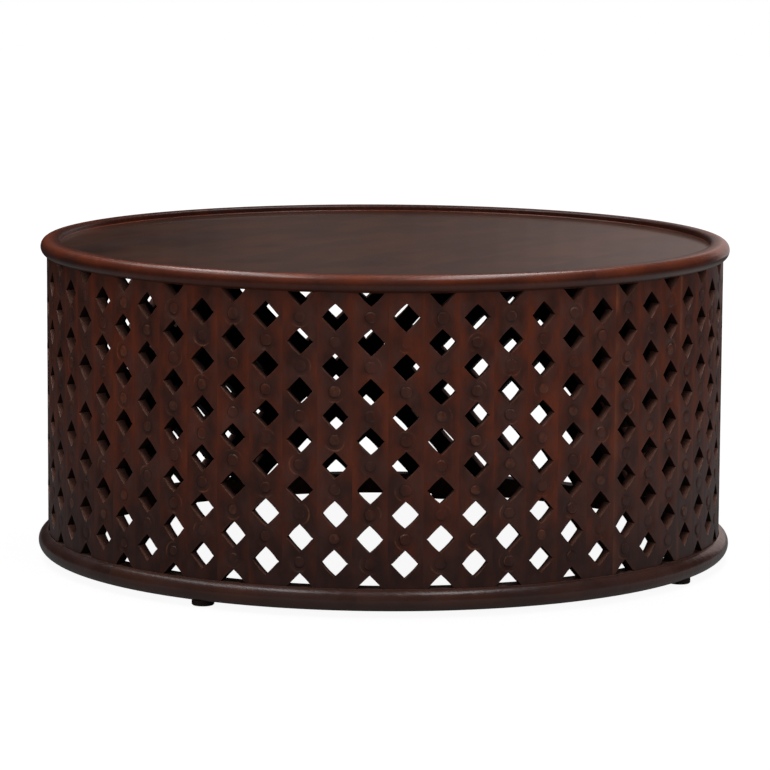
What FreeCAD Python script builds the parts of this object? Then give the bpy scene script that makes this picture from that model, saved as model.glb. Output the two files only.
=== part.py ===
"""Round african drum table: a coopered wall of pierced and carved staves between two half-round
rings of bent felloes, with a recessed board top and an open underside.

All lengths are in millimetres and all angles in degrees. The origin is on the floor under the
middle of the table, +Z is up and -Y is the front. An azimuth is counted from the front towards +X.
"""
import FreeCAD, Part
import math
import os

# Overall sizes
wall_diameter = 972.0
base_overhang = 14.0
rim_overhang = 9.0
pad_height = 8.0
base_ring_height = 30.0
lattice_height = 398.0
rim_height = 24.0

# Coopered wall
wall_thickness = 16.0
stave_pairs = 32
first_stave_azimuth = -7.75
stave_foot = 6.0
stave_tongue = 6.0
stave_shoulder = 8.0

# Lattice: diamond holes and round bosses take turns down each stave
lattice_rows = 12
diamond_width = 34.5
diamond_height = 36.0
boss_diameter = 14.0
dish_diameter = 28.0
dish_depth = 1.2

# Base ring and rim
felloes_per_ring = 8
rim_joint_azimuth = -10.0
base_joint_azimuth = -4.0
base_ring_width = 42.0
base_edge_bevel = 3.0
rim_width = 28.0
rim_inner_round = 4.0
key_length = 8.0
base_key_width = 24.0
base_key_height = 8.0
rim_key_width = 9.0
rim_key_height = 7.0

# Table top
top_recess = 8.0
top_boards = 7
top_turn = 60.0
batten_width = 60.0
batten_thickness = 22.0
batten_offset = 150.0
batten_end_bevel = 12.0
batten_wall_gap = 5.0

# Feet
pad_diameter = 31.0
pad_inset = 12.0
pad_edge_bevel = 1.5
pad_azimuths = [-31.0, 61.0, 169.0, 249.0]

# Screws
batten_screw_bite = 10.2
foot_screw_bite = 17.2
screw_diameter = 4.5
screw_head_diameter = 9.0
screw_head_height = 2.6
screw_head_sink = 1.2
screw_tip = 5.0
screw_slot_width = 1.2
screw_slot_depth = 1.0

# Fits
groove_play = 0.2
top_edge_play = 0.3
key_end_play = 1.0
screw_play = 0.2
cut_overrun = 5.0

# Levels, from the floor up, and the screws that reach across them
base_bottom = pad_height
base_top = base_bottom + base_ring_height
groove_floor = base_top - stave_foot
lattice_top = base_top + lattice_height
tongue_top = lattice_top + stave_tongue
rim_top = lattice_top + rim_height
top_face = rim_top - top_recess
top_thickness = top_face - lattice_top
batten_bottom = lattice_top - batten_thickness
batten_screw_length = batten_thickness - screw_head_sink + batten_screw_bite
foot_screw_length = pad_height - screw_head_sink + foot_screw_bite

# Radii
wall_radius = wall_diameter / 2
wall_inner_radius = wall_radius - wall_thickness
base_radius = wall_radius + base_overhang
base_inner_radius = base_radius - base_ring_width
rim_radius = wall_radius + rim_overhang
rim_inner_radius = rim_radius - rim_width
pad_circle_radius = wall_radius - pad_inset
top_seat_radius = wall_inner_radius + stave_shoulder
top_radius = top_seat_radius - top_edge_play

# Angles
stave_sweep = 360.0 / (stave_pairs * 2)
felloe_sweep = 360.0 / felloes_per_ring
row_step = lattice_height / lattice_rows

ORIGIN = FreeCAD.Vector(0, 0, 0)
UP = FreeCAD.Vector(0, 0, 1)
OUTWARD = FreeCAD.Vector(1, 0, 0)


def section(corners):
    """Closed face in the plane of radius and height. A corner is (radius, height); an arc is the
    pair of its middle point and its end point."""
    edges = []
    here = corners[0]
    for corner in corners[1:] + corners[:1]:
        if isinstance(corner[0], tuple):
            middle, end = corner
            edges.append(Part.Arc(on_section(here), on_section(middle), on_section(end)).toShape())
        else:
            end = corner
            edges.append(Part.LineSegment(on_section(here), on_section(end)).toShape())
        here = end
    return Part.Face(Part.Wire(edges))


def on_section(corner):
    """Point of the XZ plane at a radius and a height."""
    return FreeCAD.Vector(corner[0], 0, corner[1])


def rectangle(middle_radius, middle_height, width, height):
    """Rectangular section about a middle point."""
    low_radius = middle_radius - width / 2
    high_radius = middle_radius + width / 2
    low_height = middle_height - height / 2
    high_height = middle_height + height / 2
    return section([
        (low_radius, low_height),
        (high_radius, low_height),
        (high_radius, high_height),
        (low_radius, high_height),
    ])


def turned(face, start, sweep):
    """Solid made by turning a section about the table's axis, from one angle through a sweep."""
    solid = face.revolve(ORIGIN, UP, sweep)
    solid.rotate(ORIGIN, UP, start)
    return solid


def at_azimuth(shape, azimuth):
    """Copy of a shape that was made facing +X, turned to face an azimuth."""
    copy = shape.copy()
    copy.rotate(ORIGIN, UP, azimuth - 90.0)
    return copy


def round_bar(radius, bottom, top):
    """Upright cylinder on the table's axis."""
    return Part.makeCylinder(radius, top - bottom, FreeCAD.Vector(0, 0, bottom), UP)


def outward_prism(corners, start, end):
    """Prism along +X over an outline of (sideways, height) corners."""
    points = [FreeCAD.Vector(start, side, height) for side, height in corners + corners[:1]]
    return Part.Face(Part.makePolygon(points)).extrude(OUTWARD * (end - start))


def nose_rise(nose_radius, nose_middle_radius, radius):
    """How far a half-round nose stands above or below its middle level at a radius."""
    return math.sqrt(nose_radius ** 2 - (radius - nose_middle_radius) ** 2)


# Rings of felloes: each end has a tongue that enters a slot in the next felloe

def felloe(ring_section, key_radius, key_level, key_width, key_height):
    """One felloe, from angle zero round to the felloe sweep."""
    key_sweep = math.degrees(key_length / key_radius)
    play_sweep = math.degrees(key_end_play / key_radius)
    key = rectangle(key_radius, key_level, key_width, key_height)
    slot = rectangle(key_radius, key_level, key_width + groove_play * 2, key_height + groove_play * 2)
    body = turned(ring_section, 0, felloe_sweep)
    body = body.cut(turned(slot, -play_sweep, key_sweep + play_sweep * 2))
    return body.fuse(turned(key, felloe_sweep, key_sweep)).removeSplitter()


def base_section():
    """Base ring: half-round outside, a groove on top for the feet of the staves."""
    nose = base_ring_height / 2
    nose_middle = base_radius - nose
    middle_level = base_bottom + nose
    groove_outer = wall_radius + groove_play
    groove_inner = wall_inner_radius - groove_play
    lip_level = middle_level + nose_rise(nose, nose_middle, groove_outer)
    return section([
        (base_inner_radius + base_edge_bevel, base_bottom),
        (nose_middle, base_bottom),
        ((base_radius, middle_level), (groove_outer, lip_level)),
        (groove_outer, groove_floor),
        (groove_inner, groove_floor),
        (groove_inner, base_top),
        (base_inner_radius + base_edge_bevel, base_top),
        (base_inner_radius, base_top - base_edge_bevel),
        (base_inner_radius, base_bottom + base_edge_bevel),
    ])


def rim_section():
    """Rim: half-round outside, rebated below to sit on the stave tongues and over the top's edge."""
    nose = rim_height / 2
    nose_middle = rim_radius - nose
    middle_level = lattice_top + nose
    groove_outer = wall_radius + groove_play
    lip_level = middle_level - nose_rise(nose, nose_middle, groove_outer)
    round_middle = rim_inner_round * (1 - math.sqrt(0.5))
    return section([
        (groove_outer, lip_level),
        ((rim_radius, middle_level), (nose_middle, rim_top)),
        (rim_inner_radius + rim_inner_round, rim_top),
        (
            (rim_inner_radius + round_middle, rim_top - round_middle),
            (rim_inner_radius, rim_top - rim_inner_round),
        ),
        (rim_inner_radius, top_face),
        (top_seat_radius, top_face),
        (top_seat_radius, tongue_top),
        (groove_outer, tongue_top),
    ])


def base_felloes(screws):
    """The base ring's felloes, with pilot holes for the screws of the feet."""
    key_radius = (base_inner_radius + base_radius) / 2
    key_level = (base_bottom + groove_floor) / 2
    one = felloe(base_section(), key_radius, key_level, base_key_width, base_key_height)
    pieces = {}
    for number in range(felloes_per_ring):
        piece = at_azimuth(one, base_joint_azimuth + number * felloe_sweep)
        pieces[f"base_felloe_{number + 1}"] = piece.cut(screws)
    return pieces


def rim_felloes():
    """The rim's felloes."""
    key_radius = (top_seat_radius + rim_radius) / 2
    key_level = (tongue_top + rim_top) / 2
    one = felloe(rim_section(), key_radius, key_level, rim_key_width, rim_key_height)
    pieces = {}
    for number in range(felloes_per_ring):
        pieces[f"rim_felloe_{number + 1}"] = at_azimuth(one, rim_joint_azimuth + number * felloe_sweep)
    return pieces


# Coopered wall

def diamond_hole(row):
    """Cutter for the diamond at a row, counted down from the rim. At the first and last row the
    ring hides half of it, so only the half within the lattice is cut."""
    level = lattice_top - row * row_step
    half_width = diamond_width / 2
    half_height = diamond_height / 2
    corners = [(-half_width, level), (half_width, level)]
    if row > 0:
        corners.insert(1, (0, level + half_height))
    if row < lattice_rows:
        corners.append((0, level - half_height))
    return outward_prism(corners, wall_inner_radius - cut_overrun, wall_radius + cut_overrun)


def boss_dish(row):
    """Cutter for the sunk ring about the boss at a row."""
    level = lattice_top - row * row_step
    centre = FreeCAD.Vector(wall_radius - dish_depth, 0, level)
    depth = dish_depth + cut_overrun
    dish = Part.makeCylinder(dish_diameter / 2, depth, centre, OUTWARD)
    return dish.cut(Part.makeCylinder(boss_diameter / 2, depth, centre, OUTWARD))


def stave(first_hole_row):
    """One stave facing +X. Holes are cut at every second row from the first, and bosses stand at
    the rows between them."""
    blank = section([
        (wall_inner_radius, groove_floor),
        (wall_radius, groove_floor),
        (wall_radius, tongue_top),
        (top_seat_radius, tongue_top),
        (top_seat_radius, lattice_top),
        (wall_inner_radius, lattice_top),
    ])
    piece = turned(blank, -stave_sweep / 2, stave_sweep)
    hole_rows = range(first_hole_row, lattice_rows + 1, 2)
    boss_rows = [row for row in range(1, lattice_rows) if row not in hole_rows]
    holes = [diamond_hole(row) for row in hole_rows]
    dishes = [boss_dish(row) for row in boss_rows]
    return piece.cut(holes + dishes)


def stave_nodes():
    """Each pair is a stave of whole diamonds and a stave that starts and ends on half diamonds."""
    whole = stave(1)
    halved = stave(0)
    pieces = {}
    for number in range(stave_pairs):
        azimuth = first_stave_azimuth + number * stave_sweep * 2
        pair = [at_azimuth(whole, azimuth), at_azimuth(halved, azimuth + stave_sweep)]
        pieces[f"stave_pair_{number + 1:02d}"] = Part.makeCompound(pair)
    return pieces


# Screws

def screw_blank(length, play):
    """Countersunk screw on the Z axis, head down at zero, its skin moved out by a play."""
    shank = screw_diameter / 2 + play
    head = screw_head_diameter / 2 + play
    return turned(section([
        (0, 0),
        (head, 0),
        (shank, screw_head_height),
        (shank, length - screw_tip),
        (0, length + play),
    ]), 0, 360.0)


def screw(length):
    """Screw with its driving slot."""
    slot = Part.makeBox(screw_head_diameter, screw_slot_width, screw_slot_depth)
    slot.translate(FreeCAD.Vector(-screw_head_diameter / 2, -screw_slot_width / 2, 0))
    return screw_blank(length, 0).cut(slot)


def screw_hole(length):
    """Cutter for a screw's hole, with the sink that its head lies in."""
    sink = Part.makeCylinder(
        screw_head_diameter / 2 + screw_play, screw_head_sink + cut_overrun,
        FreeCAD.Vector(0, 0, -screw_head_sink - cut_overrun), UP)
    return screw_blank(length, screw_play).fuse(sink)


def placed(shape, places):
    """Group of copies of a shape, one at each place."""
    copies = []
    for place in places:
        copy = shape.copy()
        copy.translate(place)
        copies.append(copy)
    return Part.makeCompound(copies)


# Feet

def pad_places(level):
    """Centres of the feet at a level."""
    places = []
    for azimuth in pad_azimuths:
        angle = math.radians(azimuth - 90.0)
        across = pad_circle_radius * math.cos(angle)
        back = pad_circle_radius * math.sin(angle)
        places.append(FreeCAD.Vector(across, back, level))
    return places


def foot_pads(screw_holes):
    """Round pads under the base ring, each with a sunk hole for its screw."""
    pad = turned(section([
        (0, 0),
        (pad_diameter / 2 - pad_edge_bevel, 0),
        (pad_diameter / 2, pad_edge_bevel),
        (pad_diameter / 2, pad_height),
        (0, pad_height),
    ]), 0, 360.0)
    return placed(pad, pad_places(0)).cut(screw_holes)


# Table top

def along_boards(shape):
    """Shape made with the boards along +X, turned to the way that they run."""
    shape.rotate(ORIGIN, UP, top_turn)
    return shape


def board_middles():
    """Distance of each board's middle line from the middle of the top."""
    width = top_radius * 2 / top_boards
    return [(number - (top_boards - 1) / 2) * width for number in range(top_boards)]


def batten_screw_places():
    """Where the battens' screws stand, with the boards along +X."""
    level = batten_bottom + screw_head_sink
    return [
        FreeCAD.Vector(side * batten_offset, middle, level)
        for side in (-1, 1)
        for middle in board_middles()
    ]


def board_nodes(screw_holes):
    """Boards of the top, cut to a disc whose edge lies on the staves and under the rim."""
    disc = round_bar(top_radius, lattice_top, top_face)
    width = top_radius * 2 / top_boards
    pieces = {}
    for number, middle in enumerate(board_middles()):
        strip = Part.makeBox(top_radius * 2, width, top_thickness)
        strip.translate(FreeCAD.Vector(-top_radius, middle - width / 2, lattice_top))
        piece = disc.common(strip).cut(screw_holes)
        pieces[f"top_board_{number + 1}"] = along_boards(piece)
    return pieces


def batten_nodes(screw_holes):
    """Two battens across the underside of the boards, bevelled at their ends."""
    far_edge = batten_offset + batten_width / 2
    reach = math.sqrt(wall_inner_radius ** 2 - far_edge ** 2) - batten_wall_gap
    outline = [
        (-reach, lattice_top),
        (-reach + batten_end_bevel, batten_bottom),
        (reach - batten_end_bevel, batten_bottom),
        (reach, lattice_top),
    ]
    pieces = {}
    for name, side in (("top_batten_front", -1), ("top_batten_back", 1)):
        middle = side * batten_offset
        piece = outward_prism(outline, middle - batten_width / 2, middle + batten_width / 2)
        pieces[name] = along_boards(piece.cut(screw_holes))
    return pieces


# Assembly

foot_screw_places = pad_places(screw_head_sink)
foot_screw_holes = placed(screw_hole(foot_screw_length), foot_screw_places)
batten_screw_holes = placed(screw_hole(batten_screw_length), batten_screw_places())

nodes = {}
nodes.update(base_felloes(foot_screw_holes))
nodes.update(stave_nodes())
nodes.update(board_nodes(batten_screw_holes))
nodes.update(batten_nodes(batten_screw_holes))
nodes.update(rim_felloes())
nodes["foot_pads"] = foot_pads(foot_screw_holes)
nodes["foot_screws"] = placed(screw(foot_screw_length), foot_screw_places)
nodes["batten_screws"] = along_boards(placed(screw(batten_screw_length), batten_screw_places()))

os.makedirs("parts", exist_ok=True)
for name, shape in nodes.items():
    shape.exportStep(f"parts/{name}.step")
    print(f"{name}: {len(shape.Solids)} solids, {shape.Volume / 1000:.1f} cm3, valid {shape.isValid()}")
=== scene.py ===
import math

import bpy
import numpy as np
from mathutils import Matrix, Vector


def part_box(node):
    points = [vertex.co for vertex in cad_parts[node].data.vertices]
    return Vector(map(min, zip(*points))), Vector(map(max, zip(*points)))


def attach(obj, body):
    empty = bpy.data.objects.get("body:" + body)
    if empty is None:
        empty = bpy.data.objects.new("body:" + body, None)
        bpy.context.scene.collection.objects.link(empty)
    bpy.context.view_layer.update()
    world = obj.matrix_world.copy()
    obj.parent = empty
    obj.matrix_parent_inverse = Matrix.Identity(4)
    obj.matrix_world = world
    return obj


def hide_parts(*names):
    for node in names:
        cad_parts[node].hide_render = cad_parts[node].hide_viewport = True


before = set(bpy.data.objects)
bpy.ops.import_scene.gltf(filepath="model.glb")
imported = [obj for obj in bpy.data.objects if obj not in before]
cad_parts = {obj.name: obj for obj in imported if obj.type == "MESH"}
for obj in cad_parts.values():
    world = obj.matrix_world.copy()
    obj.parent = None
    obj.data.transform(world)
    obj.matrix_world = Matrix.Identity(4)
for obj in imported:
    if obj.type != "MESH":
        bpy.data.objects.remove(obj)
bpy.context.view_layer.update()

# The drum wall
# Sixty-four staves of dark-stained hardwood, glued edge to edge and turned round. Each is one
# column of the lattice: diamond holes chopped through, and between them a round boss left standing
# in a carved dish. The piece is carved by hand, so no two holes or bosses are quite alike.

MM = 0.001
wall_radius = 486 * MM
wall_inner_radius = 470 * MM
tongue_inner_radius = 478 * MM
base_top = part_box("base_felloe_1")[1].z
rim_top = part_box("rim_felloe_1")[1].z
foot_bottom, tongue_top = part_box("stave_pair_01")[0].z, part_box("stave_pair_01")[1].z
lattice_top = tongue_top - (base_top - foot_bottom)
lattice_rows = 12
row_step = (lattice_top - base_top) / lattice_rows
stave_pairs = 32
first_stave_azimuth = -7.75
stave_sweep = 360 / (2 * stave_pairs)
stave_half = wall_radius * math.radians(stave_sweep / 2)

diamond_half_width = 17.8 * MM
diamond_half_height = 18.3 * MM
hole_bulge = 0.65 * MM
hole_flare = 1.08
hole_bevel_width = 0.8 * MM
hole_bevel_depth = 0.75 * MM
back_growth = 0.16
back_lift = 1.5 * MM
joint_depth = 0.05 * MM
carver_error = 0.55 * MM
hole_error_share, boss_error_share = 0.6, 0.5
overcut = 1.8 * MM
tip_overcut_share = 0.3
bow_shares = (0.3, 1.7)
stave_size_spread = 0.028

# From the middle of a boss out over its dish to the lip: radius, and lift from the turned face.
boss_profile = np.array([
    (3.2, 0.28), (5.6, 0.14), (6.9, -0.15), (7.6, -0.90), (8.2, -1.20), (10.0, -1.00), (12.3, -0.85),
    (13.8, -0.42), (15.2, 0.0),
]) * MM
boss_crown = 0.33 * MM
boss_edge = 6.0 * MM
boss_size_spread = 0.035
oval_share, trefoil_share = 0.025, 0.02
any_turn = 6.3
carving_side = 205
carving_side_spread = 45
carving_lean, most_lean = 0.5, 1.2
shallowest_share = 0.3
widest_dish_share, plain_dish_share = 0.95, 0.88
short_middle_share = 0.3
flat_ring_share = 0.45
bevel_share = 0.45
eased_lift = -0.08 * MM
groove_radii = (7.5 * MM, 9.0 * MM)
groove_stain_and_shade_shares = (0.1, 0.75)
shoulder_ring, lip_ring = 2, 7
boss_wear = 0.3
arc_scratch_and_glint = 0.75
arc_widths = (30, 85)
bevel_wear, hole_edge_wear = 0.10, 0.06
sapwood_width = 9.0 * MM
sapwood_staves = {9: 1.0, 12: 0.7, 27: 0.8, 46: 0.9}

# The materials of a stave's mesh, by number.
carved_face, inner_face, chopped_face = 0, 1, 2

sharp_angle = 32
side_samples = 11
hole_shares = np.array([0, 0.10, 0.36, 0.66, 0.93])
end_shares = np.array([0, 0.25, 0.5, 0.75])
in_row_shares = [0, 0.5, 0.85]
out_row_shares = [0, 0.15, 0.5]

random = np.random.default_rng(64)
scratch_and_glint_random = np.random.default_rng(9)


def on_drum(side, level, radius, azimuth):
    """Points of the drum: side is the arc length at the wall's radius, to the right of a line that
    stands at an azimuth in degrees from the front, and x and y are the sine and cosine of that turn."""
    turn = math.radians(azimuth) + side / wall_radius
    return np.stack([radius * np.sin(turn), -radius * np.cos(turn), level + 0 * turn], axis=-1)


def cut_hole(row, share):
    """A diamond as it was chopped: its middle and half sizes, each a little off the drawn ones, which
    share scales for the stave."""
    side, level, wide, high = random.normal(0, carver_error * hole_error_share, 4)
    if row in (0, lattice_rows):
        level = 0
    return {
        "side": side,
        "level": lattice_top - row * row_step + level,
        "half_width": diamond_half_width * share + wide,
        "half_height": diamond_half_height * share + high,
        "overcut": overcut * random.uniform(0, 1, 4) ** 2,
        "bulge": hole_bulge * random.uniform(*bow_shares, 4),
    }


def flared(hole):
    """The same diamond where it comes out inside the drum, a little larger and with no overcut."""
    if hole is None:
        return None
    sizes = {name: hole[name] * hole_flare for name in ("half_width", "half_height")}
    return {**hole, **sizes, "overcut": hole["overcut"] * 0}


def cell_outline(above, below, top, bottom, ends):
    """Outline of one boss's share of a stave, from the diamond above it to the one below, counted
    anticlockwise from its lower right corner: samples along straight edges, and the corners of the
    holes drawn out by the overcut of the chisel. A hole's edge bows out by four times its bulge
    times the share run and the share left. Each sample carries the kind of the edge that leaves it:
    side, row, hole or end."""
    half = stave_half
    edges = [((half, bottom), (half, top), "side", np.arange(side_samples) / side_samples)]
    spikes = []
    top_kind = "end" if "top" in ends else "row"
    bottom_kind = "end" if "bottom" in ends else "row"
    if above:
        cut = above["overcut"]
        right = (above["side"] + above["half_width"], top)
        tip = (above["side"], top - above["half_height"])
        left = (above["side"] - above["half_width"], top)
        spikes += [(right, cut[0], 0.0), (tip, 0.0, -cut[1]), (left, -cut[2], 0.0)]
        edges += [
            ((half, top), right, top_kind, in_row_shares),
            (right, tip, "hole", hole_shares),
            (tip, left, "hole", hole_shares),
            (left, (-half, top), top_kind, out_row_shares),
        ]
    else:
        edges.append(((half, top), (-half, top), "end", end_shares))
    edges.append(((-half, top), (-half, bottom), "side", np.arange(side_samples) / side_samples))
    if below:
        cut = below["overcut"]
        left = (below["side"] - below["half_width"], bottom)
        tip = (below["side"], bottom + below["half_height"])
        right = (below["side"] + below["half_width"], bottom)
        spikes += [(left, -cut[2], 0.0), (tip, 0.0, cut[3] * tip_overcut_share), (right, cut[0], 0.0)]
        edges += [
            ((-half, bottom), left, bottom_kind, in_row_shares),
            (left, tip, "hole", hole_shares),
            (tip, right, "hole", hole_shares),
            (right, (half, bottom), bottom_kind, out_row_shares),
        ]
    else:
        edges.append(((-half, bottom), (half, bottom), "end", end_shares))
    bows = iter([*(above["bulge"][:2] if above else ()), *(below["bulge"][2:] if below else ())])
    points, kinds = [], []
    for start, end, kind, shares in edges:
        start, end = np.array(start), np.array(end)
        bow = next(bows) if kind == "hole" else 0.0
        run = (end - start) / np.linalg.norm(end - start)
        across = np.array([-run[1], run[0]])
        share = np.array(shares)[:, None]
        points.append(start + share * (end - start) + 4 * bow * share * (1 - share) * across)
        kinds += [kind] * len(shares)
    points = np.concatenate(points)
    for corner, x, y in spikes:
        points[np.all(np.isclose(points, corner, atol=1e-9), axis=1)] += (x, y)
    return points, np.array(kinds)


def scratch_and_glint_arc(turn, strongest):
    """Scratch wear with a painted glint along part of a ring: one less the square of the angle from its
    middle over its half width, where that is above zero."""
    off = np.angle(np.exp(1j * (turn - scratch_and_glint_random.uniform(0, 2 * np.pi))))
    width = math.radians(scratch_and_glint_random.uniform(*arc_widths))
    return strongest * scratch_and_glint_random.uniform(0, 1) ** 1.5 * np.clip(1 - (off / width) ** 2, 0, 1)


def touching(kinds, kind):
    """Which samples of an outline lie on an edge of one kind, at its start or at its end."""
    return (kinds == kind) | (np.roll(kinds, 1) == kind)


def cell_faces(kinds, rings):
    """Faces of a cell, and the number of each one's material. The carved face is a fan round its
    middle and a band from each ring to the next, the inside is a fan, and walls join the last ring to
    the inner outline except along a row."""
    count = len(kinds)
    here = np.arange(count)
    after = (here + 1) % count
    fan = np.stack([here * 0, here + 1, after + 1, after + 1], axis=1)
    bands = []
    for ring in range(rings - 1):
        low, high = 1 + ring * count, 1 + (ring + 1) * count
        bands.append(np.stack([low + here, high + here, high + after, low + after], axis=1))
    last, inner = 1 + (rings - 1) * count, 1 + rings * count
    walled = kinds != "row"
    walls = np.stack([last + here, inner + here, inner + after, last + after], axis=1)[walled]
    inside = np.stack([here * 0 + inner + count, inner + after, inner + here, inner + here], axis=1)
    numbers = np.concatenate([
        np.full(count * rings, carved_face),
        np.where(kinds[walled] == "hole", chopped_face, carved_face),
        np.full(count, inner_face),
    ])
    return np.concatenate([fan, *bands, walls, inside]), numbers


def cell_marks(turn, lean, touches_hole, has_boss):
    """Marks on the carved face, from the middle out along the rays: stain in the groove round the boss
    with painted shade, most where the carving is deepest, wear on the boss, scratch wear with painted
    glints on arcs of two rings, wear at the edges of the holes, and one within the dish."""
    count = len(turn)
    radii = boss_profile[:, 0]
    in_groove = (radii > groove_radii[0]) & (radii < groove_radii[1])
    # Stain in the groove round the boss together with painted shade, darkest where the carving is cut
    # deeper.
    pooled_stain_and_shade = has_boss * random.uniform(*groove_stain_and_shade_shares) * np.clip(lean, 0, most_lean)
    shade_and_stain = np.concatenate([[0.0], *(pooled_stain_and_shade * flag for flag in in_groove), np.zeros(3 * count)])
    rubbed = boss_wear * random.uniform(0.0, 1.0) ** 4 * has_boss
    worn = [np.full(count, (radius < boss_edge) * rubbed) for radius in radii]
    # Scratch wear with painted glints along arcs of the shoulder and lip rings.
    for ring in (shoulder_ring, lip_ring):
        worn[ring] = worn[ring] + has_boss * scratch_and_glint_arc(turn, arc_scratch_and_glint)
    worn += [np.zeros(count), touches_hole * bevel_wear, touches_hole * hole_edge_wear]
    arris = np.concatenate([[rubbed], *worn])
    within = np.concatenate([radii < boss_profile[-1, 0], [False] * 3])
    dish = has_boss * np.concatenate([[1.0], np.repeat(within, count)])
    return np.stack([shade_and_stain, arris, dish], axis=1)


def carve_cell(above, below, top, bottom, ends, azimuth):
    """Surface of one cell. Rays run from the middle of the boss to the outline. Along each ray the
    carved face has rings at the radii of the boss profile, a little out of round and cut deeper on one
    side by a cosine of the turn, then at shares of what is left, then a bevelled or jointed edge. The
    inner face repeats the outline at the inner radius, a little larger at the holes."""
    has_boss = above is not None and below is not None
    outline, kinds = cell_outline(above, below, top, bottom, ends)
    count = len(outline)
    middle = np.array([0.0, (top + bottom) / 2]) + random.normal(0, carver_error * boss_error_share, 2)
    if not above:
        middle = np.array([0.0, top - diamond_half_height * short_middle_share])
    if not below:
        middle = np.array([0.0, bottom + diamond_half_height * short_middle_share])
    ray = outline - middle
    reach = np.linalg.norm(ray, axis=1)
    ray /= reach[:, None]

    touches_hole = touching(kinds, "hole")
    jointed = np.where(touching(kinds, "side"), -joint_depth, 0.0)
    edge_lift = np.where(touches_hole, -hole_bevel_depth, jointed)

    lip = boss_profile[-1, 0]
    turn = np.arctan2(ray[:, 1], ray[:, 0])
    wobble = oval_share * np.cos(2 * turn + random.uniform(0, any_turn))
    wobble = wobble + trefoil_share * np.cos(3 * turn + random.uniform(0, any_turn))
    deepest = math.radians(random.normal(carving_side, carving_side_spread))
    lean = 1 + carving_lean * np.cos(turn - deepest)
    if has_boss:
        size = 1 + random.normal(0, boss_size_spread)
        shrink = np.minimum(size + wobble, widest_dish_share * reach / lip)
    else:
        shrink = plain_dish_share * reach / lip
    left_over = reach - shrink * lip
    bevel = np.minimum(hole_bevel_width, bevel_share * left_over)
    depth = random.uniform(shallowest_share, 1.0) if has_boss else 0.0

    distances = [shrink * radius for radius, lift in boss_profile]
    lifts = [lift * depth * (lean if lift < 0 else np.ones(count)) for radius, lift in boss_profile]
    distances += [shrink * lip + flat_ring_share * (left_over - bevel), reach - bevel, reach]
    lifts += [np.zeros(count), np.where(touches_hole, eased_lift, 0.0), edge_lift]
    flat = np.concatenate([middle[None]] + [middle + ray * distance[:, None] for distance in distances])
    lift = np.concatenate([[boss_crown * depth]] + lifts)
    outer = on_drum(flat[:, 0], flat[:, 1], wall_radius + lift, azimuth)

    # The holes open a little towards the inside, and the joints between staves point at the axis.
    back, kinds = cell_outline(flared(above), flared(below), top, bottom, ends)
    keep = np.clip((stave_half - np.abs(back[:, 0])) / (stave_half - diamond_half_width), 0, 1)
    side = back[:, 0] * (1 + (wall_radius / wall_inner_radius - 1) * keep)
    inner = on_drum(side, back[:, 1], wall_inner_radius, azimuth)
    inner_middle = on_drum(middle[:1] * 0, middle[1:], wall_inner_radius, azimuth)

    points = np.concatenate([outer, inner, inner_middle])
    inner_lift = wall_inner_radius - wall_radius
    grain = np.concatenate([
        np.stack([flat[:, 1], flat[:, 0], lift], axis=1),
        np.stack([outline[:, 1], outline[:, 0], np.full(count, inner_lift)], axis=1),
        [[middle[1], 0, inner_lift]],
    ])
    marks = np.zeros((len(points), 4))
    marks[:len(outer), :3] = cell_marks(turn, lean, touches_hole, has_boss)
    # Painted shade: the inside face and the inner ends of the hole walls get the full shade mark.
    marks[len(outer):, 0] = 1
    marks[:, 3] = np.concatenate([flat[:, 0], back[:, 0], [0.0]])
    faces, numbers = cell_faces(kinds, len(distances))
    return points, faces, numbers, grain, marks


def ring_block(low_radius, high_radius, bottom, top, azimuth):
    """Closed block of a stave's width: a grid across it, at two radii and two levels."""
    across = np.linspace(-stave_half, stave_half, 5)
    rows = [
        on_drum(across, bottom, low_radius, azimuth), on_drum(across, bottom, high_radius, azimuth),
        on_drum(across, top, high_radius, azimuth), on_drum(across, top, low_radius, azimuth),
    ]
    points = np.concatenate(rows)
    count = len(across)
    here = np.arange(count - 1)
    faces = []
    for corner in range(4):
        low, high = corner * count, (corner + 1) % 4 * count
        faces.append(np.stack([low + here, low + here + 1, high + here + 1, high + here], axis=1))
    last = count - 1
    ends = [[0, count, 2 * count, 3 * count],
            [last, 3 * count + last, 2 * count + last, count + last]]
    return points, np.concatenate(faces + [ends])


def cut_elsewhere(grain):
    """Places in the grain, moved by up to five metres each way, so that no two pieces match."""
    return grain + random.uniform(-5, 5, 3)


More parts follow.
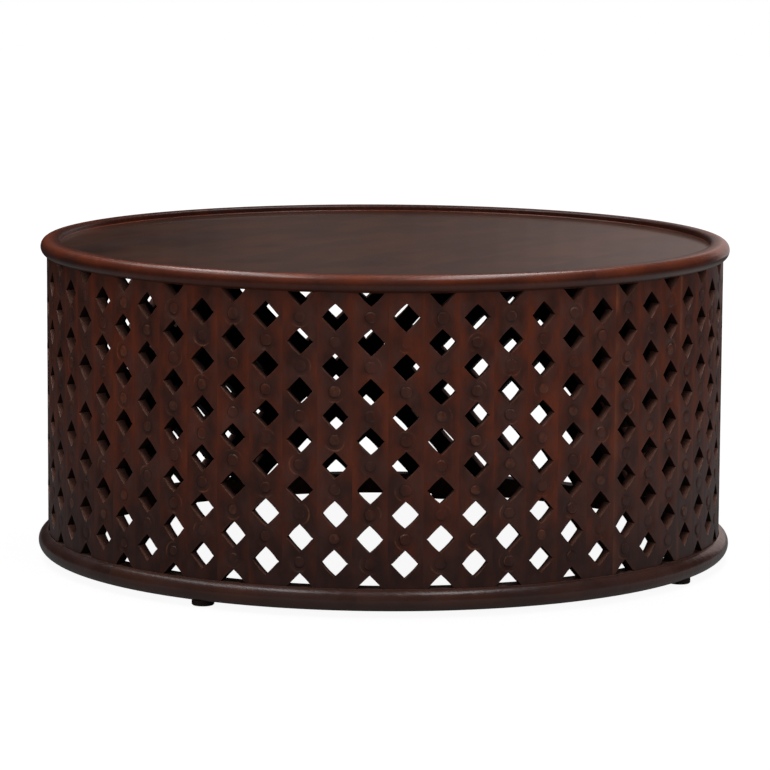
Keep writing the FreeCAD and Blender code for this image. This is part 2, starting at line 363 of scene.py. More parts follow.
def carve_stave(first_hole_row, azimuth):
    """One stave: a cell for each boss, the two short ends of a stave of whole diamonds, and the
    foot and tongue that stand in the rings. Points that cells share are joined. Each point carries
    four marks: stain with painted shade in a groove and painted shade inside the wall, wear with
    painted glints, dish, and its side coordinate. The holes grow and rise a little towards the back,
    with the cosine squared."""
    behind = max(0.0, -math.cos(math.radians(azimuth))) ** 2
    share = 1 + random.normal(0, stave_size_spread) + back_growth * behind
    holes = {row: cut_hole(row, share) for row in range(first_hole_row, lattice_rows + 1, 2)}
    for row, hole in holes.items():
        if 0 < row < lattice_rows:
            hole["level"] += back_lift * behind
    parts = []
    for row in range(1 - first_hole_row, lattice_rows + 1, 2):
        above, below = holes.get(row - 1), holes.get(row + 1)
        top = above["level"] if above else lattice_top
        bottom = below["level"] if below else base_top
        ends = ["top"] * (row <= 1) + ["bottom"] * (row >= lattice_rows - 1)
        parts.append(carve_cell(above, below, top, bottom, ends, azimuth))
    for low_radius, bottom, top in (
        (wall_inner_radius, foot_bottom, base_top), (tongue_inner_radius, lattice_top, tongue_top),
    ):
        points, faces = ring_block(low_radius, wall_radius, bottom, top, azimuth)
        numbers = np.full(len(faces), carved_face)
        parts.append((points, faces, numbers, points[:, [2, 0, 1]], np.zeros((len(points), 4))))
    start = np.cumsum([0] + [len(part[0]) for part in parts])
    faces = np.concatenate([part[1] + offset for part, offset in zip(parts, start)])
    points, numbers, grain, marks = (np.concatenate([part[k] for part in parts]) for k in (0, 2, 3, 4))
    grain = cut_elsewhere(grain)
    first_block = start[-3]
    keep, place = merged(points, first_block)
    return points[keep], place[faces], numbers, grain[keep], marks[keep]


def merged(points, last):
    """Which of the points to keep, and where each one goes, when those before last that lie within a
    thousandth of a millimetre are joined."""
    key = np.round(points / (MM * 0.001)).astype(np.int64)
    here = np.arange(len(points))
    key = np.column_stack([key, np.where(here < last, 0, here)])
    keep, place = np.unique(key, axis=0, return_index=True, return_inverse=True)[1:]
    return keep, place.reshape(-1)


def mesh_piece(name, points, faces, materials, face_material=None, values=()):
    """Object at the origin from an array of points and one of faces. A face whose last two corners
    are the same is a triangle. Values are per-point attributes by name. Edges over the sharp angle
    are drawn hard."""
    mesh = bpy.data.meshes.new(name)
    corners = [face[:3] if face[2] == face[3] else face for face in faces.tolist()]
    mesh.from_pydata(points.tolist(), [], corners)
    for material in materials:
        mesh.materials.append(material)
    if face_material is not None:
        mesh.polygons.foreach_set("material_index", face_material.astype(np.int32))
    for label, value in values:
        if value.ndim == 2:
            mesh.attributes.new(label, "FLOAT_VECTOR", "POINT").data.foreach_set("vector", value.ravel())
        else:
            mesh.attributes.new(label, "FLOAT", "POINT").data.foreach_set("value", value)
    mesh.polygons.foreach_set("use_smooth", np.ones(len(corners), bool))
    mesh.update()
    mesh.set_sharp_from_angle(angle=math.radians(sharp_angle))
    piece = bpy.data.objects.new(name, mesh)
    bpy.context.scene.collection.objects.link(piece)
    return piece


class Nodes:
    """Short way to lay out the nodes of a new material, or of a new world."""

    def __init__(self, name, kept_in=bpy.data.materials):
        self.owner = kept_in.new(name)
        self.owner.use_nodes = True
        self.tree = self.owner.node_tree
        self.tree.nodes.clear()

    def add(self, kind, settings=None, **sockets):
        """New node. A socket goes by its name, or by its number after an i, and its value is a number,
        a colour or another node's output."""
        node = self.tree.nodes.new(kind)
        for key, value in (settings or {}).items():
            setattr(node, key, value)
        for key, value in sockets.items():
            socket = node.inputs[int(key[1:]) if key[1:].isdigit() else key.replace("_", " ")]
            if isinstance(value, bpy.types.NodeSocket):
                self.tree.links.new(value, socket)
            else:
                socket.default_value = value
        return node

    def attribute(self, name, output="Fac"):
        """A per-point value of the piece's mesh."""
        return self.add("ShaderNodeAttribute", {"attribute_name": name}).outputs[output]

    def noise(self, place, stretch, scale, detail, rough):
        """Noise over a place that is stretched along the grain."""
        stretched = self.add("ShaderNodeVectorMath", {"operation": "MULTIPLY"}, i0=place, i1=stretch)
        return self.add("ShaderNodeTexNoise", Vector=stretched.outputs[0], Scale=scale, Detail=detail,
                        Roughness=rough).outputs["Fac"]

    def math(self, operation, a, b=0.0, c=0.0, clamp=False):
        """One step of arithmetic."""
        settings = {"operation": operation, "use_clamp": clamp}
        return self.add("ShaderNodeMath", settings, i0=a, i1=b, i2=c).outputs[0]

    def spread(self, value, low, high, new_low=0.0, new_high=1.0):
        """A value's range moved to another one, clamped."""
        return self.add("ShaderNodeMapRange", {"clamp": True}, i0=value, i1=low, i2=high, i3=new_low,
                        i4=new_high).outputs[0]

    def blend(self, share, a, b, kind="MIX"):
        """Two colours mixed by a share."""
        settings = {"data_type": "RGBA", "blend_type": kind}
        return self.add("ShaderNodeMix", settings, i0=share, i6=a, i7=b).outputs[2]

    def finished(self, shader, output="ShaderNodeOutputMaterial"):
        """The material, or world, with a shader as its surface."""
        self.add(output, Surface=shader.outputs[0])
        return self.owner


def rgb(red, green, blue):
    """Colour written as it is shown, 0 to 255, made linear."""
    shown = np.array([red, green, blue]) / 255
    linear = np.where(shown <= 0.04045, shown / 12.92, ((shown + 0.055) / 1.055) ** 2.4)
    return (*linear.tolist(), 1.0)


def darker(colour, share):
    """The same colour with a share of its light."""
    return (*(share * value for value in colour[:3]), 1.0)


def stained_wood(name, deep, warm, hazy, worn, rough, coat, coat_rough, shine=0.5, coarse=1.0, waves=0.0,
                 dust=0.0, foot=0.0, fine=1.0, band=0.0, dull=0.0):
    """Hardwood under a dark stain and satin lacquer. The grain runs along the first part of the
    piece's grain attribute: long figure, streaks and fine pores that hold more stain, and slow
    blotches between a deep, a warm and a hazy colour. Each piece has its own tone. The shade and
    stain mark darkens it, with stain that pools and painted shade. Worn places wear through to the
    worn colour, which also paints glints on the bosses' arcs and highlights and light on the rim and
    base ring. Coarse widens the figure, fine scales the pores, waves is how uneven the hand-sanded
    face is, dust lightens carving that looks up, as dust and painted light together, foot is how much
    darker, as painted shade, the wood gets towards the floor, band how much warmer it is beside the
    joints, where it was wiped, and dull how much of the shine is lost where the shade and stain mark
    is high."""
    n = Nodes(name)
    place = n.attribute("grain", "Vector")
    tone = n.attribute("tone")
    wide = 1 / coarse
    rings = n.noise(place, (5.0, 55.0, 55.0), wide, 3.0, 0.5)
    blotch = n.noise(place, (22.0, 36.0, 36.0), wide, 3.0, 0.5)
    cloud = n.noise(place, (20.0, 28.0, 28.0), 1.3 * wide, 2.5, 0.5)
    shade = n.noise(place, (14.0, 26.0, 26.0), wide, 2.5, 0.5)
    pores = n.noise(place, (70.0, 1500.0, 1500.0), 1.0, 2.0, 0.6)
    streak = n.noise(place, (14.0, 330.0, 330.0), 1.0, 3.0, 0.6)
    where = n.add("ShaderNodeTexCoord").outputs["Object"]
    scuff = n.noise(where, (170.0, 170.0, 140.0), 1.0, 4.0, 0.7)
    dish = n.attribute("dish")

    share = n.math("MULTIPLY_ADD", rings, 0.35, blotch)
    share = n.math("MULTIPLY_ADD", tone, 0.06, share)
    share = n.math("MULTIPLY_ADD", dish, -0.04, share)
    level = n.add("ShaderNodeSeparateXYZ", Vector=where).outputs["Z"]
    # Painted shade: the wood gets darker towards the floor, as much as foot says.
    low = n.spread(level, base_top, base_top + 0.4 * lattice_top, 1.0, 0.0)
    share = n.math("MULTIPLY_ADD", low, -0.6 * foot, share)
    beside = n.math("ABSOLUTE", n.attribute("side"))
    beside = n.spread(beside, 0.45 * stave_half, 0.9 * stave_half, -band, band)
    beside = n.math("MULTIPLY", beside, n.math("MULTIPLY_ADD", low, -0.9, 1.0))
    share = n.math("ADD", beside, share)
    colour = n.blend(n.spread(share, 0.46, 0.92), deep, warm)
    haze = n.math("MULTIPLY_ADD", tone, -0.03, n.math("MULTIPLY_ADD", dish, 0.02, cloud))
    haze = n.math("SUBTRACT", haze, n.math("MULTIPLY", beside, 0.5))
    colour = n.blend(n.spread(haze, 0.46, 0.70, 0.0, 0.6), colour, hazy)
    dim = n.math("MULTIPLY", n.spread(streak, 0.25, 0.75, 1 - 0.06 * fine, 1 + 0.06 * fine),
                 n.spread(shade, 0.3, 0.7, 0.88, 1.12))
    dim = n.math("MULTIPLY", dim, n.math("MULTIPLY_ADD", low, -foot, 1.0))
    grey = n.add("ShaderNodeCombineColor", Red=dim, Green=dim, Blue=dim).outputs[0]
    colour = n.blend(1.0, colour, grey, "MULTIPLY")
    colour = n.blend(n.spread(pores, 0.60, 0.74, 0.0, 0.35 * fine), colour, darker(deep, 0.4))
    # Darker by the shade and stain mark: stain with painted shade in the bosses' grooves, painted shade
    # inside the drum and low on the rim's nose, and a darker inside of the rim.
    pooled_stain_and_shade = n.math("MULTIPLY", n.attribute("shade_and_stain"), n.spread(scuff, 0.35, 0.6, 0.3 + 0.5 * dull, 0.9))
    colour = n.blend(pooled_stain_and_shade, colour, darker(deep, 0.3))
    # The worn colour: real wear on the bosses and hole edges, painted glints on the arcs round the bosses,
    # and painted highlight and light on the rim's crown and bead and the base ring's groove edge.
    wear_and_painted_light = n.math("MULTIPLY", n.attribute("arris"), n.spread(scuff, 0.40, 0.60, 0.2, 1.0), clamp=True)
    colour = n.blend(wear_and_painted_light, colour, worn)
    sap = n.math("MULTIPLY", n.attribute("sap"), n.spread(n.math("ADD", shade, blotch), 0.8, 1.2, 0.0, 0.7))
    sap = n.math("MULTIPLY", sap, n.spread(level, 0.5 * lattice_top, lattice_top, 0.35, 1.0))
    edge = n.spread(n.attribute("side"), -stave_half, -stave_half + sapwood_width, 1.0, 0.0)
    colour = n.blend(n.math("MULTIPLY", sap, edge), colour, worn)
    # Dust with painted light: carving that looks up, the bosses' upper shoulders and the dishes' lower
    # lips, is lightened in patches.
    if dust:
        facing = n.add("ShaderNodeSeparateXYZ", Vector=n.add("ShaderNodeNewGeometry").outputs["Normal"])
        patch = n.math("MULTIPLY_ADD", scuff, 0.4, n.noise(where, (70.0, 70.0, 70.0), 1.0, 3.0, 0.6))
        lying = n.spread(facing.outputs["Z"], 0.15, 0.60)
        lying = n.math("MULTIPLY", lying, n.spread(patch, 0.62, 0.86, 0.0, dust))
        colour = n.blend(lying, colour, rgb(138, 112, 100))

    matt = n.math("MULTIPLY_ADD", scuff, 0.4, cloud)
    roughness = n.spread(matt, 0.4, 1.0, rough * 0.87, rough * 1.13)
    wave = n.noise(where, (75.0, 75.0, 75.0), 1.0, 3.0, 0.5)
    hand = n.add("ShaderNodeBump", Strength=waves, Distance=0.0010, Height=wave)
    rugged = n.math("MULTIPLY", scuff, n.math("MULTIPLY_ADD", dish, 1.6, 0.25))
    height = n.math("MULTIPLY_ADD", pores, -0.35, n.math("MULTIPLY_ADD", streak, 0.5, rugged))
    bump = n.add("ShaderNodeBump", Strength=0.25 * fine, Distance=0.0008, Height=height,
                 Normal=hand.outputs[0])
    coated = n.spread(n.attribute("shade_and_stain"), 0.65, 1.0, coat, coat * (1.0 - dull)) if dull else coat
    shader = n.add("ShaderNodeBsdfPrincipled", Base_Color=colour, Roughness=roughness,
                   Normal=bump.outputs[0], Coat_Weight=coated, Coat_Roughness=coat_rough,
                   Specular_IOR_Level=shine)
    return n.finished(shader)


# The wall's dust is dust with painted light on carving that looks up, and its foot is painted shade towards
# the floor.
wall_wood = stained_wood(
    "wall wood", deep=rgb(65, 35, 28), warm=rgb(110, 48, 26), hazy=rgb(88, 54, 47), worn=rgb(158, 97, 66),
    rough=0.42, coat=0.08, coat_rough=0.3, shine=0.38, waves=0.25, dust=0.6, foot=0.36, band=0.07)
# The inside face: colours darker than the outside, painted shade of the drum's unlit inside.
shaded_wall_inside = stained_wood(
    "wall inside", deep=rgb(34, 20, 16), warm=rgb(48, 28, 21), hazy=rgb(40, 28, 24), worn=rgb(60, 36, 26),
    rough=0.65, coat=0.0, coat_rough=0.5, shine=0.08)


def chopped_wood(name, shaded, lit):
    """Walls of the holes, cut across the grain and left rough from the chisel. Their colour is painted
    light and shade: sills that look up get the lit colour towards the outer face, and faces that look
    down and the depths towards the inside stay in the shaded colour."""
    n = Nodes(name)
    where = n.add("ShaderNodeTexCoord").outputs["Object"]
    facing = n.add("ShaderNodeSeparateXYZ", Vector=n.add("ShaderNodeNewGeometry").outputs["Normal"])
    chips = n.noise(where, (260.0, 260.0, 260.0), 1.0, 3.0, 0.6)
    # Painted light and shade: sills that look up take the lit colour, most at the outer face, where deep is
    # one.
    deep = n.math("SUBTRACT", 1.0, n.attribute("shade_and_stain"), clamp=True)
    level = n.spread(facing.outputs["Z"], 0.0, 0.6)
    painted_sill_light = n.math("MULTIPLY", level, n.math("MULTIPLY_ADD", chips, 0.5, 0.65), clamp=True)
    colour = n.blend(n.math("MULTIPLY", painted_sill_light, n.math("MULTIPLY_ADD", deep, 0.7, 0.3)), shaded, lit)
    bump = n.add("ShaderNodeBump", Strength=0.5, Distance=0.0012, Height=chips)
    shader = n.add("ShaderNodeBsdfPrincipled", Base_Color=colour, Normal=bump.outputs[0],
                   Roughness=n.spread(chips, 0.3, 0.7, 0.65, 0.85), Specular_IOR_Level=0.15)
    return n.finished(shader)


hole_wood = chopped_wood("hole wood", shaded=rgb(36, 21, 17), lit=rgb(122, 84, 72))

for number in range(stave_pairs):
    azimuth = first_stave_azimuth + number * 2 * stave_sweep
    staves = [carve_stave(1, azimuth), carve_stave(0, azimuth + stave_sweep)]
    tones = random.uniform(-1, 1, 2)
    saps = [sapwood_staves.get(2 * number + side, 0.0) for side in (0, 1)]
    sizes = [len(stave[0]) for stave in staves]
    faces = np.concatenate([staves[0][1], staves[1][1] + sizes[0]])
    points, numbers, grain, marks = (np.concatenate([stave[k] for stave in staves]) for k in (0, 2, 3, 4))
    piece = mesh_piece(
        f"carved_staves_{number + 1:02d}", points, faces, [wall_wood, shaded_wall_inside, hole_wood], numbers,
        [("grain", grain), ("tone", np.repeat(tones, sizes)), ("sap", np.repeat(saps, sizes)),
         ("shade_and_stain", marks[:, 0]), ("arris", marks[:, 1]), ("dish", marks[:, 2]), ("side", marks[:, 3])])
    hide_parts(f"stave_pair_{number + 1:02d}")
    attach(piece, "root")

# The base ring
# Eight felloes sawn from solid wood and joined end to end, rounded to a full half-round outside.
# The feet of the staves stand in a groove on top, and the pads are screwed on underneath.

felloes = 8
felloe_sweep = 360 / felloes
felloe_steps = 40
joint_inset_share, joint_pull_share = 0.00025, 0.9993
base_joint_azimuth = -4.0
base_radius = 500 * MM
base_inner_radius = 458 * MM
base_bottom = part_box("base_felloe_1")[0].z
base_nose = (base_top - base_bottom) / 2
base_corner = 3 * MM
corner_share = 0.3
groove_ease = 0.6 * MM
groove_play = 0.2 * MM
groove_edge_highlight = 0.7
base_tone = 0.3
nose_steps = 22


def arc(middle, radius, start, end, steps):
    """Points of a section along a circle between two angles: cosine out and sine up, in degrees."""
    turn = np.radians(np.linspace(start, end, steps + 1))
    return np.stack([middle[0] + radius * np.cos(turn), middle[1] + radius * np.sin(turn)], axis=1)


def nose_angle(middle_radius, nose, edge):
    """Angle in degrees at which a half-round nose meets an upright line at the radius edge: its cosine
    is the line's distance from the nose's middle over the radius of the nose."""
    return math.degrees(math.acos((edge - middle_radius) / nose))


def felloe_piece(name, section, start_azimuth, tone, edge_light, pooled_stain_and_shade, material):
    """A closed section, a list of (radius, level) points anticlockwise, turned from one joint to the
    next. Its ends draw in by a hair, as sanded joints do. The grain is straight along the chord. Edge
    light, a painted highlight in the worn colour, and the shade and stain mark are given for each
    point of the section."""
    between = np.linspace(0, 1, felloe_steps + 1)[1:-1]
    shares = np.concatenate([[0, joint_inset_share], between, [1 - joint_inset_share, 1]])
    azimuths = np.radians(start_azimuth + felloe_sweep * shares)
    centre = section.mean(axis=0)
    pull = np.where((shares == 0) | (shares == 1), joint_pull_share, 1.0)
    place = centre + (section - centre) * pull[:, None, None]
    radius, level = place[..., 0], place[..., 1]
    turn = azimuths[:, None]
    points = np.stack([radius * np.sin(turn), -radius * np.cos(turn), level], axis=-1)
    turn = turn - azimuths.mean()
    grain = np.stack([radius * np.sin(turn), radius * np.cos(turn), level], axis=-1)
    slices, count = radius.shape
    faces = []
    here = np.arange(count)
    after = (here + 1) % count
    for step in range(slices - 1):
        low, high = step * count, (step + 1) * count
        faces.append(np.stack([low + here, high + here, high + after, low + after], axis=1))
    points = points.reshape(-1, 3)
    caps = []
    for step, order in ((0, 1), (slices - 1, -1)):
        hub = len(points) + len(caps)
        ring = step * count
        pair = (ring + here, ring + after)[::order]
        faces.append(np.stack([here * 0 + hub, pair[0], pair[1], pair[1]], axis=1))
        caps.append(points[ring:ring + count].mean(axis=0))
    grain = np.concatenate([grain.reshape(-1, 3), grain.reshape(-1, 3)[[0, -1]]])
    points = np.concatenate([points, caps])
    arris = np.concatenate([np.tile(edge_light, slices), [0, 0]])
    shade_and_stain = np.concatenate([np.tile(pooled_stain_and_shade, slices), [0, 0]])
    return mesh_piece(name, points, np.concatenate(faces), [material], values=[
        ("grain", cut_elsewhere(grain)), ("tone", np.full(len(points), tone)),
        ("arris", arris), ("shade_and_stain", shade_and_stain),
    ])


def base_ring_section():
    """Half-round nose, then the groove, the inner edge and the underside."""
    middle = (base_radius - base_nose, base_bottom + base_nose)
    groove_outer = wall_radius + groove_play
    groove_inner = wall_inner_radius - groove_play
    last_angle = nose_angle(middle[0], base_nose, groove_outer + groove_ease)
    eased = base_corner * corner_share
    return np.concatenate([
        arc(middle, base_nose, -90, last_angle, nose_steps),
        [
            (groove_outer, base_top - groove_ease), (groove_outer, foot_bottom),
            (groove_inner, foot_bottom), (groove_inner, base_top - groove_ease),
            (groove_inner - groove_ease, base_top), (base_inner_radius + base_corner, base_top),
            (base_inner_radius + eased, base_top - eased), (base_inner_radius, base_top - base_corner),
            (base_inner_radius, base_bottom + base_corner),
            (base_inner_radius + eased, base_bottom + eased),
            (base_inner_radius + base_corner, base_bottom),
        ],
    ])


base_wood = stained_wood(
    "base wood", deep=rgb(54, 32, 27), warm=rgb(80, 46, 36), hazy=rgb(74, 50, 48), worn=rgb(128, 98, 88),
    rough=0.36, coat=0.50, coat_rough=0.20, coarse=2.0, waves=1.0)
base_section = base_ring_section()
# Painted highlight: the two points at the groove's outer edge take the worn colour, a thin light line.
base_edge_highlight = np.isin(np.arange(len(base_section)), (nose_steps, nose_steps + 1)) * groove_edge_highlight
for number in range(felloes):
    piece = felloe_piece(
        f"base_ring_{number + 1}", base_section, base_joint_azimuth + number * felloe_sweep,
        random.uniform(-base_tone, base_tone), base_edge_highlight, np.zeros(len(base_section)), base_wood)
    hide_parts(f"base_felloe_{number + 1}")
    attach(piece, "root")

# The rim
# Eight felloes again, half-round outside and rounded inside, rebated below to sit on the tongues of
# the staves and over the edge of the top. The wood is darker inside, and painted shade darkens the
# nose low down, where it looks down. Painted light brightens the crown, and a fine bead of lacquer
# lies where the rim meets the top, with a painted highlight along it.

rim_joint_azimuth = -10.0
rim_radius = 495 * MM
rim_inner_radius = 467 * MM
rim_inner_round = 4 * MM
rim_nose = (rim_top - lattice_top) / 2
top_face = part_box("top_board_4")[1].z
bead = 0.9 * MM
round_steps, bead_steps = 6, 3
low_nose_shade, low_nose_shade_angle = 0.6, 24
crown_light, crown_angle, crown_spread = 0.36, 62, 24
bead_highlight = 0.22
rim_tone = 0.35


def rim_ring_section():
    """Half-round nose over the wall, the rounded inner edge, the bead and the rebate."""
    middle = (rim_radius - rim_nose, rim_top - rim_nose)
    groove_outer = wall_radius + groove_play
    foot = nose_angle(middle[0], rim_nose, groove_outer)
    inner = (rim_inner_radius + rim_inner_round, rim_top - rim_inner_round)
    cove = (rim_inner_radius - bead, top_face + bead)
    return np.concatenate([
        arc(middle, rim_nose, -foot, 90, nose_steps),
        arc(inner, rim_inner_round, 90, 180, round_steps),
        arc(cove, bead, 0, -90, bead_steps),
        [(tongue_inner_radius, top_face), (tongue_inner_radius, tongue_top), (groove_outer, tongue_top)],
    ])


rim_wood = stained_wood(
    "rim wood", deep=rgb(74, 33, 23), warm=rgb(126, 55, 27), hazy=rgb(82, 46, 38), worn=rgb(156, 72, 36),
    rough=0.38, coat=0.60, coat_rough=0.20, shine=0.3, coarse=2.2, waves=0.4, dull=0.7)
rim_section = rim_ring_section()
station = np.arange(len(rim_section))
first_bead = nose_steps + round_steps + 2
on_nose = station <= nose_steps
on_inside = (station > nose_steps) & (station <= first_bead)
on_bead = (station > first_bead) & (station < first_bead + bead_steps)
# By the angle up the nose, in degrees, painted shade darkens it low down and painted light brightens the
# crown; the bead takes a painted highlight.
nose_sine = (rim_section[:, 1] - rim_top + rim_nose) / rim_nose
leaning = np.degrees(np.arcsin(np.clip(nose_sine, -1, 1)))
rim_inside_and_low_shade = on_inside + low_nose_shade * np.clip(1 - leaning / low_nose_shade_angle, 0, 1) * on_nose
lit_crown = crown_light * np.exp(-((leaning - crown_angle) / crown_spread) ** 2) * on_nose
rim_painted_light = on_bead * bead_highlight + lit_crown
for number in range(felloes):
    piece = felloe_piece(
        f"rim_ring_{number + 1}", rim_section, rim_joint_azimuth + number * felloe_sweep,
        random.uniform(-rim_tone, rim_tone), rim_painted_light, rim_inside_and_low_shade, rim_wood)
    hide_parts(f"rim_felloe_{number + 1}")
    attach(piece, "root")

# The top
# Seven boards glued edge to edge into a disc, planed and lacquered, lying on the wall's shoulder
# with its edge under the rim. The boards run about sixty degrees off the front.

top_boards = 7
top_turn = 60
top_radius = 477.7 * MM
board_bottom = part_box("top_board_4")[0].z
board_width = 2 * top_radius / top_boards
board_steps, board_strips = 56, 8
board_tone = 0.8


def board_piece(name, middle, tone, material):
    """One board of the disc: a grid along and across it, whose ends follow the circle, because half
    its length is the root of the radius squared less the distance from the middle line squared."""
    half = board_width / 2
    across = np.linspace(-half, half, board_strips + 1)
    shares = np.linspace(-1, 1, board_steps + 1)
    side = middle + across
    reach = np.sqrt(np.maximum(top_radius ** 2 - side ** 2, 0))
    x = shares[:, None] * reach
    y = np.broadcast_to(side, x.shape)
    top = np.stack([x, y, top_face + 0 * x], axis=-1)
    bottom = np.stack([x, y, board_bottom + 0 * x], axis=-1)
    turn = math.radians(top_turn)
    grid = np.concatenate([top.reshape(-1, 3), bottom.reshape(-1, 3)])
    grain = cut_elsewhere(grid)
    points = np.stack([
        grid[:, 0] * math.cos(turn) - grid[:, 1] * math.sin(turn),
        grid[:, 0] * math.sin(turn) + grid[:, 1] * math.cos(turn),
        grid[:, 2],
    ], axis=1)
    rows, columns = x.shape
    shift = rows * columns
    index = np.arange(shift).reshape(rows, columns)
    corners = index[:-1, :-1], index[1:, :-1], index[1:, 1:], index[:-1, 1:]
    upper = np.stack(corners, axis=-1).reshape(-1, 4)
    lower = upper[:, ::-1] + shift
    loop = np.concatenate([index[:-1, 0], index[-1, :-1], index[:0:-1, -1], index[0, :0:-1]])
    following = np.roll(loop, -1)
    walls = np.stack([loop, loop + shift, following + shift, following], axis=1)
    return mesh_piece(name, points, np.concatenate([upper, lower, walls]), [material], values=[
        ("grain", grain), ("tone", np.full(len(points), tone)), ("arris", np.zeros(len(points))),
    ])


top_wood = stained_wood(
    "top wood", deep=rgb(58, 31, 21), warm=rgb(86, 47, 28), hazy=rgb(68, 42, 32), worn=rgb(120, 80, 60),
    rough=0.36, coat=0.60, coat_rough=0.09, shine=0.32, coarse=3.0, fine=0.8)
for number in range(top_boards):
    middle = (number - (top_boards - 1) / 2) * board_width
    tone = random.uniform(-board_tone, board_tone)
    piece = board_piece(f"top_plank_{number + 1}", middle, tone, top_wood)
    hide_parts(f"top_board_{number + 1}")
    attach(piece, "root")

# The battens
# Two cross battens under the boards, stained and thinly lacquered, with countersunk screws, which
# hold the seven boards flat from below.


def plain_wood(name, turn, deep, warm):
    """Stained wood of a straight bar: the same figure on object coordinates turned to its length."""
    n = Nodes(name)
    where = n.add("ShaderNodeTexCoord").outputs["Object"]
    place = n.add("ShaderNodeMapping", Vector=where, Rotation=(0, 0, math.radians(turn))).outputs[0]
    rings = n.noise(place, (3.0, 45.0, 45.0), 1.0, 5.0, 0.6)
    pores = n.noise(place, (60.0, 1200.0, 1200.0), 1.0, 2.0, 0.6)
    colour = n.blend(n.spread(rings, 0.3, 0.7), deep, warm)
    colour = n.blend(n.spread(pores, 0.6, 0.75, 0.0, 0.5), colour, darker(deep, 0.4))
    bump = n.add("ShaderNodeBump", Strength=0.3, Distance=0.0008, Height=pores)
    shader = n.add("ShaderNodeBsdfPrincipled", Base_Color=colour, Normal=bump.outputs[0],
                   Roughness=n.spread(rings, 0.2, 0.8, 0.42, 0.6))
    return n.finished(shader)


def paint(node, material):
    """A CAD node gets its material."""
    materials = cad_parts[node].data.materials
    materials.clear()
    materials.append(material)


batten_wood = plain_wood("batten wood", -top_turn - 90, deep=rgb(46, 29, 22), warm=rgb(66, 38, 27))
paint("top_batten_front", batten_wood)
paint("top_batten_back", batten_wood)

# The feet
# Four round pads of hard dark rubber, each held up into the base ring by one zinc-plated screw. The
# battens' screws have the same finish.


def pad_rubber():
    """Matt moulded rubber, dark red-brown, with fine pitting and dust."""
    n = Nodes("pad rubber")
    where = n.add("ShaderNodeTexCoord").outputs["Object"]
    pits = n.noise(where, (900.0, 900.0, 900.0), 1.0, 3.0, 0.6)
    dust = n.noise(where, (70.0, 70.0, 70.0), 1.0, 4.0, 0.6)
    colour = n.blend(n.spread(dust, 0.45, 0.75, 0.0, 0.6), rgb(38, 20, 17), rgb(60, 44, 38))
    bump = n.add("ShaderNodeBump", Strength=0.3, Distance=0.0003, Height=pits)
    shader = n.add("ShaderNodeBsdfPrincipled", Base_Color=colour, Normal=bump.outputs[0],
                   Roughness=n.spread(dust, 0.3, 0.8, 0.6, 0.8))
    return n.finished(shader)


def plated_steel():
    """Yellowish zinc plate, a little uneven."""
    n = Nodes("plated steel")
    where = n.add("ShaderNodeTexCoord").outputs["Object"]
    bloom = n.noise(where, (500.0, 500.0, 500.0), 1.0, 3.0, 0.6)
    colour = n.blend(n.spread(bloom, 0.35, 0.7), (0.42, 0.40, 0.34, 1), (0.52, 0.46, 0.33, 1))
    shader = n.add("ShaderNodeBsdfPrincipled", Base_Color=colour, Metallic=1.0,
                   Roughness=n.spread(bloom, 0.3, 0.7, 0.3, 0.45))
    return n.finished(shader)


steel = plated_steel()
paint("foot_pads", pad_rubber())
paint("foot_screws", steel)
paint("batten_screws", steel)

# Floor, light and camera
# A plain pale floor under soft studio light, with the camera where the photograph was taken from.

floor_half = 12.0
floor_mesh = bpy.data.meshes.new("floor")
floor_mesh.from_pydata(
    [(-floor_half, -floor_half, 0), (floor_half, -floor_half, 0), (floor_half, floor_half, 0),
     (-floor_half, floor_half, 0)], [], [(0, 1, 2, 3)])
floor = bpy.data.objects.new("floor", floor_mesh)
bpy.context.scene.collection.objects.link(floor)


def seen_white(n, path):
    """One for the rays that see the white background, camera and transmission rays, else zero."""
    return n.math("ADD", path.outputs["Is Camera Ray"], path.outputs["Is Transmission Ray"], clamp=True)


def floor_paint():
    """White with the table's faint shadow where the camera looks, matt for the light it throws back,
    and a sheen to glossy rays, a painted reflection that glows, which begins at the base ring and
    fades further out, to the left and behind."""
    n = Nodes("floor")
    path = n.add("ShaderNodeLightPath")
    where = n.add("ShaderNodeTexCoord").outputs["Object"]
    away = n.add("ShaderNodeVectorMath", {"operation": "LENGTH"}, i0=where).outputs["Value"]
    flat = n.add("ShaderNodeSeparateXYZ", Vector=where)
    # Painted reflection: the sheen is a glow seen only by glossy rays, strongest a little out from the base
    # ring, to the right and in front.
    sheen = n.math("MULTIPLY", n.spread(away, 0.47, 0.50), n.spread(away, 0.5, 1.0, 0.14, 0.28))
    for fade in (
        n.spread(away, 1.0, 2.4, 1.0, 0.25),
        n.spread(flat.outputs["X"], -1.3, 1.3, 0.5, 1.5),
        n.spread(flat.outputs["Y"], 0.0, 0.6, 1.0, 0.6),
    ):
        sheen = n.math("MULTIPLY", sheen, fade)
    matt = n.add("ShaderNodeBsdfDiffuse", Color=rgb(130, 127, 124)).outputs[0]
    glossy = n.add("ShaderNodeEmission", Strength=sheen).outputs[0]
    plain = n.add("ShaderNodeMixShader", i0=path.outputs["Is Glossy Ray"], i1=matt, i2=glossy)
    shaded = n.add("ShaderNodeBsdfDiffuse", Color=rgb(92, 92, 92)).outputs[0]
    glow = n.add("ShaderNodeEmission", Strength=n.spread(away, 1.2, 2.4, 0.93, 1.0)).outputs[0]
    white = n.add("ShaderNodeAddShader", i0=glow, i1=shaded)
    return n.finished(n.add("ShaderNodeMixShader", i0=seen_white(n, path), i1=plain.outputs[0],
                            i2=white.outputs[0]))


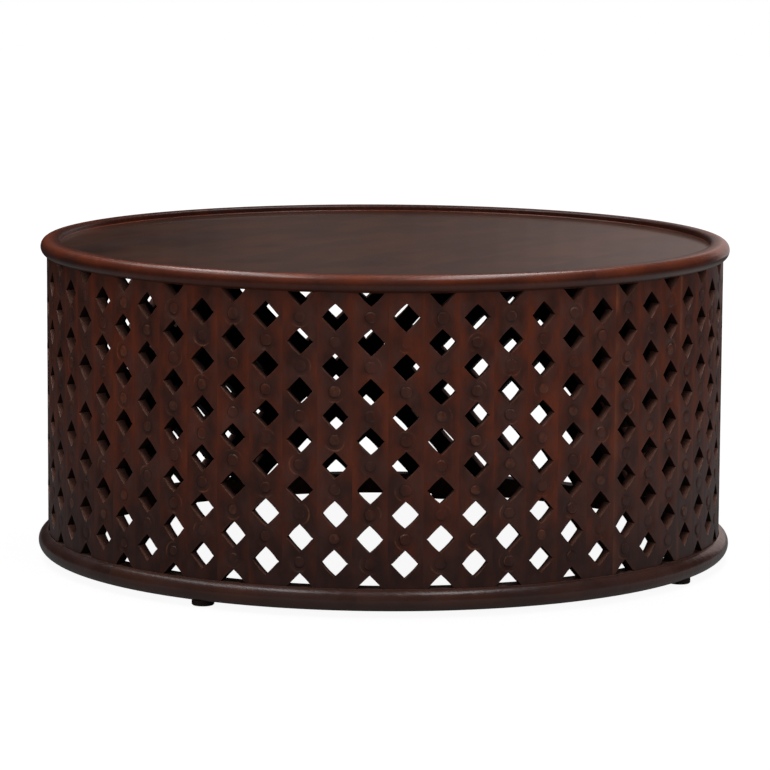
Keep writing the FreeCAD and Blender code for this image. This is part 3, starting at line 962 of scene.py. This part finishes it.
def studio_room():
    """White where the camera looks into it, dim in the lacquer, and a soft light on the wood."""
    n = Nodes("studio", bpy.data.worlds)
    path = n.add("ShaderNodeLightPath")
    strength = n.add("ShaderNodeMix", i0=path.outputs["Is Glossy Ray"], i2=0.25, i3=0.01).outputs[0]
    plain = n.add("ShaderNodeBackground", Color=(1, 1, 1, 1), Strength=strength).outputs[0]
    bright = n.add("ShaderNodeBackground", Color=(1, 1, 1, 1), Strength=1.0).outputs[0]
    room = n.add("ShaderNodeMixShader", i0=seen_white(n, path), i1=plain, i2=bright)
    return n.finished(room, "ShaderNodeOutputWorld")


floor_mesh.materials.append(floor_paint())
bpy.context.scene.world = studio_room()


def softbox(name, place, target, size, radiance, glossy=True, tint=(1, 1, 1)):
    """Rectangular light at a place, facing a target, with its first size across. Its power is its
    radiance times its area times pi."""
    light = bpy.data.lights.new(name, "AREA")
    light.shape = "RECTANGLE"
    light.color = tint
    light.size, light.size_y = size
    light.energy = radiance * math.pi * size[0] * size[1]
    lamp = bpy.data.objects.new(name, light)
    lamp.location = place
    lamp.rotation_euler = (Vector(place) - Vector(target)).to_track_quat("Z", "Y").to_euler()
    lamp.visible_camera = False
    lamp.visible_glossy = glossy
    bpy.context.scene.collection.objects.link(lamp)


softbox("left strip", (-1.30, 0.75, 3.45), (-1.30, 0.75, 0), (0.75, 4.5), 4.4)
softbox("far left strip", (-2.35, 0.75, 3.45), (-2.35, 0.75, 0), (0.8, 3.5), 1.8)
softbox("right strip", (0.90, 0.55, 3.45), (0.90, 0.55, 0), (0.85, 4.7), 4.4)
softbox("front key", (0.5, -2.0, 3.4), (0, -0.3, 0.3), (0.9, 0.9), 5.8, glossy=False)
softbox("front fill", (-1.3, -4.0, 1.4), (0, 0, 0.3), (3.0, 2.0), 1.0, glossy=False)
softbox("right fill", (3.4, -1.6, 1.5), (0.3, 0, 0.3), (1.2, 1.4), 4.1, glossy=False)
softbox("left fill", (-3.4, -1.6, 1.5), (-0.3, 0, 0.3), (1.2, 1.4), 1.0, glossy=False)

# A pale wall behind the table, brighter to the right, that only shows as a sheen in the top.
# Its strips' edges lie at x, and its radiance is given at places along x.
wall_edges = np.append(np.linspace(-0.66, 0.72, 24), 2.40)
wall_places = (-0.66, -0.49, -0.40, -0.29, -0.18, 0.0, 0.24, 0.42, 0.60, 0.72, 0.90)
wall_radiance = (0.0, 0.02, 0.04, 0.06, 0.075, 0.065, 0.105, 0.17, 0.23, 0.25, 0.60)
wall_back, wall_middle, wall_height = 2.75, 0.75, 1.4
wall_tint = (1.0, 0.80, 0.76)
for left, right in zip(wall_edges, wall_edges[1:]):
    middle = (left + right) / 2
    radiance = float(np.interp(middle, wall_places, wall_radiance))
    softbox("back wall", (middle, wall_back, wall_middle), (middle, 0, wall_middle),
            (right - left, wall_height), radiance, tint=wall_tint)

camera_data = bpy.data.cameras.new("camera")
camera = bpy.data.objects.new("camera", camera_data)
bpy.context.scene.collection.objects.link(camera)
bpy.context.scene.camera = camera
photo_side = 770
focal_pixels = 4033.2
camera_data.sensor_width = 36.0
camera_data.lens = focal_pixels * camera_data.sensor_width / photo_side
camera_data.clip_end = 100
camera_pitch = 8.111
camera_roll = 0.348
camera.location = (1.0 * MM, -5781.8 * MM, 1068.4 * MM)
camera.rotation_mode = "XYZ"
tilted = Matrix.Rotation(math.radians(90 - camera_pitch), 4, "X")
rolled = Matrix.Rotation(math.radians(camera_roll), 4, "Z")
camera.rotation_euler = (tilted @ rolled).to_euler("XYZ")

bpy.context.scene.view_settings.view_transform = "Standard"
